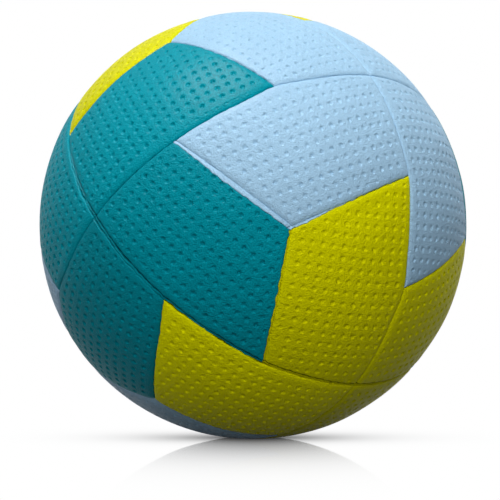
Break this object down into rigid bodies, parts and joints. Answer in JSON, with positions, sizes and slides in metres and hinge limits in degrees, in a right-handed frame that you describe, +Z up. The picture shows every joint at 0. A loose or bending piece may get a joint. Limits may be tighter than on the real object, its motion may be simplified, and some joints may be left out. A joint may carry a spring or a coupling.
{
  "type": "handball",
  "caption": "Hand-sewn ball with four-sided dimpled cover panels in three colours over foam pads, cloth backings and an air bladder with a needle valve.",
  "frame": {"origin": "centre of the ball", "axes": "+Z up as the ball lies in the picture, seen looking along +Y with +X to the right"},
  "size_m": [0.1624, 0.1624, 0.1624],
  "materials": {
    "teal_cover": "soft dimpled synthetic leather, satin",
    "blue_cover": "soft dimpled synthetic leather, satin",
    "lime_cover": "soft dimpled synthetic leather, satin",
    "foam": "soft closed-cell foam",
    "cloth": "woven polyester and cotton backing",
    "thread": "waxed polyester thread",
    "bladder": "smooth black rubber",
    "valve": "moulded black rubber",
    "plug": "soft natural rubber"
  },
  "bodies": {
    "root": {"teal_panel_1": "teal_cover", "teal_panel_2": "teal_cover", "teal_panel_3": "teal_cover", "teal_panel_4": "teal_cover", "teal_panel_5": "teal_cover", "teal_panel_6": "teal_cover", "teal_panel_7": "teal_cover", "teal_panel_8": "teal_cover", "blue_panel_1": "blue_cover", "blue_panel_2": "blue_cover", "blue_panel_3": "blue_cover", "blue_panel_4": "blue_cover", "blue_panel_5": "blue_cover", "blue_panel_6": "blue_cover", "blue_panel_7": "blue_cover", "blue_panel_8": "blue_cover", "lime_panel_1": "lime_cover", "lime_panel_2": "lime_cover", "lime_panel_3": "lime_cover", "lime_panel_4": "lime_cover", "lime_panel_5": "lime_cover", "lime_panel_6": "lime_cover", "lime_panel_7": "lime_cover", "lime_panel_8": "lime_cover", "teal_foam_1": "foam", "teal_foam_2": "foam", "teal_foam_3": "foam", "teal_foam_4": "foam", "teal_foam_5": "foam", "teal_foam_6": "foam", "teal_foam_7": "foam", "teal_foam_8": "foam", "blue_foam_1": "foam", "blue_foam_2": "foam", "blue_foam_3": "foam", "blue_foam_4": "foam", "blue_foam_5": "foam", "blue_foam_6": "foam", "blue_foam_7": "foam", "blue_foam_8": "foam", "lime_foam_1": "foam", "lime_foam_2": "foam", "lime_foam_3": "foam", "lime_foam_4": "foam", "lime_foam_5": "foam", "lime_foam_6": "foam", "lime_foam_7": "foam", "lime_foam_8": "foam", "teal_cloth": "cloth", "blue_cloth": "cloth", "lime_cloth": "cloth", "teal_blue_thread": "thread", "blue_lime_thread": "thread", "lime_teal_thread": "thread", "bladder": "bladder", "valve_body": "valve", "valve_plug": "plug", "valve_patch": "bladder"}
  },
  "joints": []
}
